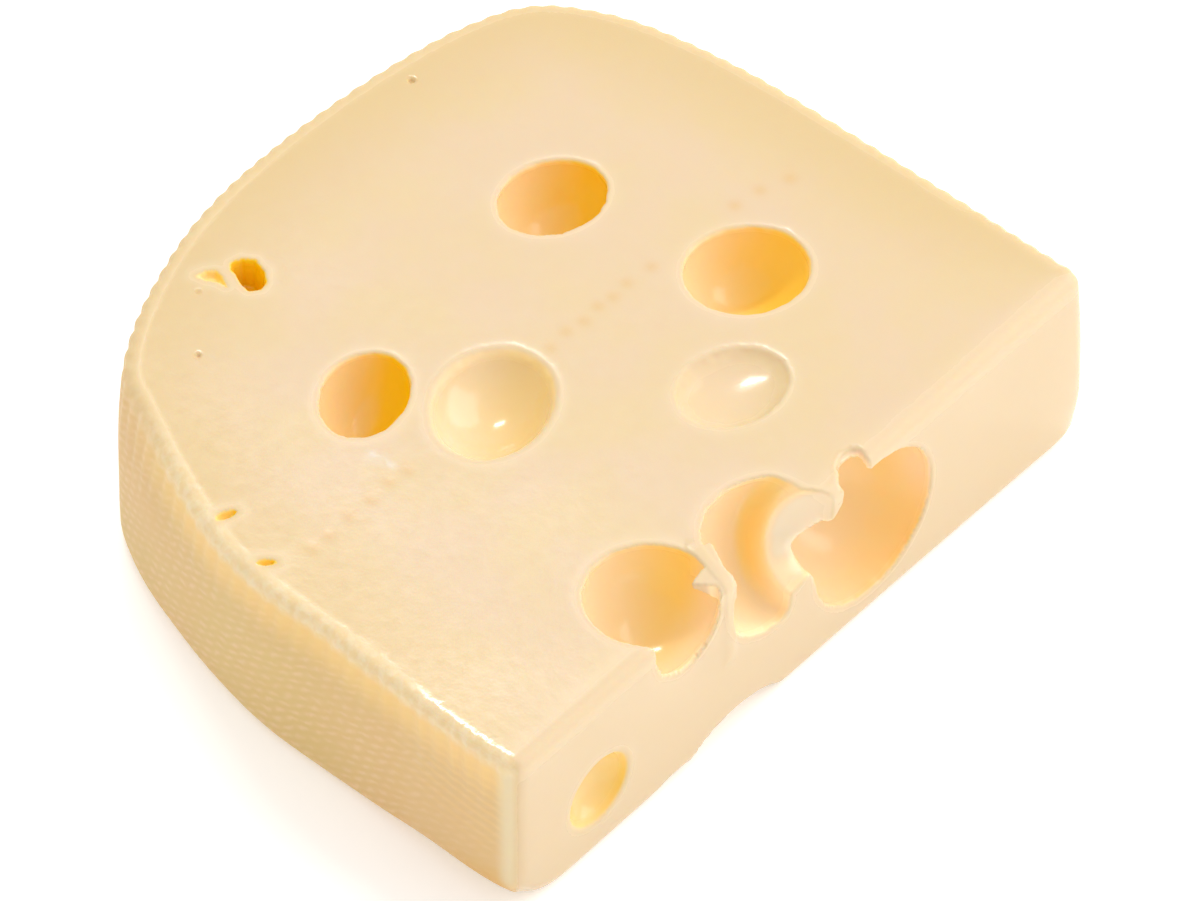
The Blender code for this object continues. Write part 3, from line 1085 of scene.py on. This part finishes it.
def wave(graph, phase):
    """A wave between 0 and 1, one for each unit of the phase."""
    turn = graph.math("MULTIPLY", phase, 2 * math.pi)
    return graph.math("MULTIPLY_ADD", graph.math("COSINE", turn), 0.5, 0.5)


def weave(graph):
    """How high the rind's cloth imprint stands: short dashes in rows, worn in places."""
    cloth = graph.vector("cloth")
    split = graph.node("ShaderNodeSeparateXYZ")
    graph.put(split.inputs[0], cloth)
    wander = graph.noise(cloth, 0.3, 2.0)
    across = graph.math("DIVIDE", graph.math("MULTIPLY_ADD", wander, 1.6, split.outputs[1]), WEAVE_ROW)
    row = graph.math("ROUND", across)
    jitter = graph.noise(cloth, 1.1, 1.0)
    along = graph.math("DIVIDE", graph.math("MULTIPLY_ADD", jitter, 1.5, split.outputs[0]), SCALLOP_LENGTH)
    along = graph.math("MULTIPLY_ADD", row, 0.5, along)
    rows = graph.math("POWER", wave(graph, across), 1.3)
    dashes = graph.math("MULTIPLY_ADD", wave(graph, along), 0.75, 0.25)
    worn = graph.between(graph.noise(cloth, 0.12, 3.0), 0.3, 0.62)
    pressed = graph.math("MULTIPLY_ADD", worn, 0.65, 0.35)
    return graph.math("MULTIPLY", graph.math("MULTIPLY", rows, dashes), pressed)


def rind_colour(graph, place, dashes):
    """The rind: tan and greenish patches, pale dashes, golden lines, painted shade at the foot, and a
    painted highlight down the corner.
    """
    patches = graph.between(graph.noise(place, 45.0, 3.0), 0.3, 0.7)
    rind = graph.mix(patches, RIND_TAN, RIND_GREENISH)
    rind = graph.mix(graph.math("MULTIPLY", dashes, 0.6), rind, RIND_DASH)
    split = graph.node("ShaderNodeSeparateXYZ")
    graph.put(split.inputs[0], place)
    height = graph.math("MULTIPLY", split.outputs[2], 600.0)
    level = graph.math("MULTIPLY_ADD", graph.noise(place, 60.0, 2.0), 1.2, height)
    lines = graph.math("MULTIPLY", graph.math("POWER", wave(graph, level), 2.0), graph.mask("lines"))
    rind = graph.mix(graph.math("MULTIPLY", lines, 0.25), rind, RIND_GOLDEN)
    rind = graph.mix(graph.faint("brow", 0.8), rind, RIND_GOLDEN)
    rind = graph.mix(graph.mask("foot"), rind, RIND_FOOT_SHADE)
    return graph.mix(graph.mask("corner"), rind, CORNER_HIGHLIGHT)


def paste_colour(graph, place):
    """The cut paste: faint clouds, yellower towards the rind, a painted shade that darkens the narrow cut
    face a little, and a painted highlight along its rounded top edge.
    """
    cloudy = graph.between(graph.noise(place, 70.0, 3.0), 0.35, 0.65)
    paste = graph.mix(cloudy, PASTE, PASTE_YELLOW)
    paste = graph.mix(graph.faint("edge", 0.9), paste, PASTE_NEAR_RIND)
    paste = graph.mix(graph.mask("cut"), paste, PASTE_CUT_SHADE)
    return graph.mix(graph.faint("brink", 0.8), paste, BRINK_HIGHLIGHT)


def with_marks(graph, colour, speckle):
    """The colour with the smear, the crumbly strip, pale rims, dimples, torn paste, and the eyes' walls
    with their painted light and painted shade.
    """
    colour = graph.mix(graph.faint("smear", 0.6), colour, SMEAR)
    colour = graph.mix(graph.mask("strip"), colour, graph.mix(speckle, STRIP_YELLOW, STRIP_PALE))
    colour = graph.mix(graph.faint("halo", 0.3), colour, HALO)
    colour = graph.mix(graph.faint("dimple", 0.6), colour, DIMPLE)
    colour = graph.mix(graph.mask("torn"), colour, TORN)
    # The eyes' walls, painted: light and shade on them, then the colour painted lighter than the paste
    # where painted shade is faint.
    wall = graph.mix(graph.mask("painted_shade"), EYE_WALL_PAINTED_LIT, EYE_WALL_PAINTED_SHADE)
    wall = graph.mix(graph.mask("colour"), EYE_WALL_LIGHTENED, wall)
    return graph.mix(graph.mask("eye"), colour, wall)


def put_gloss(graph, grain):
    """The wet sheen of cut paste, duller on the rind, and soft on rims and the brink."""
    soft = graph.math("MAXIMUM", graph.mask("rim"), graph.mask("brink"))
    dull = graph.math("ADD", graph.mask("dull"), graph.math("MULTIPLY", soft, 0.8))
    rough = graph.math("MULTIPLY_ADD", dull, 0.4, graph.math("MULTIPLY_ADD", grain, 0.1, 0.12))
    level = graph.math("MULTIPLY_ADD", soft, -0.35, 0.5)
    graph.put(graph.shader.inputs["Roughness"], rough)
    graph.put(graph.shader.inputs["Specular IOR Level"], level)


def put_bump(graph, grain, dashes, speckle):
    """The finest relief, in millimetres: grain, the cloth's dashes and crumbs."""
    height = graph.math("MULTIPLY_ADD", grain, 0.015, graph.math("MULTIPLY", dashes, 0.04))
    crumbly = graph.math("MULTIPLY", graph.mask("strip"), graph.math("MULTIPLY", speckle, 0.03))
    bump = graph.node("ShaderNodeBump")
    bump.inputs["Strength"].default_value = 1.0
    bump.inputs["Distance"].default_value = MM
    graph.put(bump.inputs["Height"], graph.math("ADD", height, crumbly))
    graph.put(graph.shader.inputs["Normal"], bump.outputs[0])


def cheese_material():
    """Paste, rind and eyes in one material, told apart by the mesh's masks."""
    graph = Graph("cheese paste")
    place = graph.node("ShaderNodeTexCoord").outputs["Object"]
    dashes = graph.math("MULTIPLY", weave(graph), graph.mask("weave"))
    speckle = graph.between(graph.noise(place, 900.0, 2.0), 0.35, 0.7)
    grain = graph.noise(place, 500.0, 3.0, 0.6)
    rind = rind_colour(graph, place, dashes)
    colour = graph.mix(graph.mask("rind"), paste_colour(graph, place), rind)
    graph.put(graph.shader.inputs["Base Color"], with_marks(graph, colour, speckle))
    graph.shader.inputs["Subsurface Weight"].default_value = SCATTER_SHARE
    graph.shader.inputs["Subsurface Radius"].default_value = SCATTER_COLOURS
    graph.shader.inputs["Subsurface Scale"].default_value = SCATTER_REACH
    put_gloss(graph, grain)
    put_bump(graph, grain, dashes, speckle)
    return graph.material


def build_cheese():
    mesh, points = cheese_mesh()
    add_masks(mesh, points)
    mesh.shade_smooth()
    mesh.materials.append(cheese_material())
    obj = bpy.data.objects.new("cheese", mesh)
    bpy.context.scene.collection.objects.link(obj)
    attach(obj, "root")
    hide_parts(NODE)
    print("cheese", len(mesh.vertices), "vertices", len(mesh.polygons), "faces")


def to_frame(point):
    """A point of the wedge's coordinates in the frame's metres."""
    return Vector((np.array(point) - ORIGIN) * MM)


def build_floor():
    """A plain pale floor under the slab, with a faint glow that keeps it near white."""
    mesh = bpy.data.meshes.new("floor")
    turns = ((-1, -1), (1, -1), (1, 1), (-1, 1))
    corners = [(x * FLOOR_REACH, y * FLOOR_REACH, -FLOOR_DROP) for x, y in turns]
    mesh.from_pydata(corners, [], [(0, 1, 2, 3)])
    graph = Graph("pale floor")
    graph.shader.inputs["Base Color"].default_value = (0.95, 0.95, 0.95, 1.0)
    graph.shader.inputs["Roughness"].default_value = 0.9
    graph.shader.inputs["Emission Color"].default_value = (1.0, 1.0, 1.0, 1.0)
    graph.shader.inputs["Emission Strength"].default_value = 0.25
    mesh.materials.append(graph.material)
    floor = bpy.data.objects.new("floor", mesh)
    bpy.context.scene.collection.objects.link(floor)


def build_light(name, direction, distance, size, power):
    """A soft light that looks at the middle of the slab."""
    lamp = bpy.data.lights.new(name, "AREA")
    lamp.shape = "RECTANGLE"
    lamp.size, lamp.size_y = size
    lamp.energy = power
    obj = bpy.data.objects.new(name, lamp)
    bpy.context.scene.collection.objects.link(obj)
    target = Vector((0.0, 0.0, THICKNESS * MM / 2))
    obj.location = target + Vector(direction).normalized() * distance
    obj.rotation_euler = (target - obj.location).to_track_quat("-Z", "Y").to_euler()


def build_camera():
    """The camera, looking at the slab as the photograph does."""
    camera = bpy.data.cameras.new("camera")
    camera.lens = LENS
    camera.sensor_width = SENSOR_WIDTH
    camera.sensor_fit = "HORIZONTAL"
    camera.clip_end = 10.0
    obj = bpy.data.objects.new("camera", camera)
    bpy.context.scene.collection.objects.link(obj)
    obj.location = to_frame(CAMERA_PLACE)
    target = to_frame(CAMERA_TARGET)
    obj.rotation_euler = (target - obj.location).to_track_quat("-Z", "Y").to_euler()
    bpy.context.scene.camera = obj


def build_world():
    """An even white studio all round."""
    world = bpy.data.worlds.new("studio")
    world.use_nodes = True
    background = world.node_tree.nodes["Background"]
    background.inputs["Color"].default_value = (1.0, 1.0, 1.0, 1.0)
    background.inputs["Strength"].default_value = WORLD_STRENGTH
    bpy.context.scene.world = world


build_cheese()
build_floor()
build_camera()
build_world()
for light in LIGHTS:
    build_light(*light)
bpy.context.scene.view_settings.view_transform = "Standard"
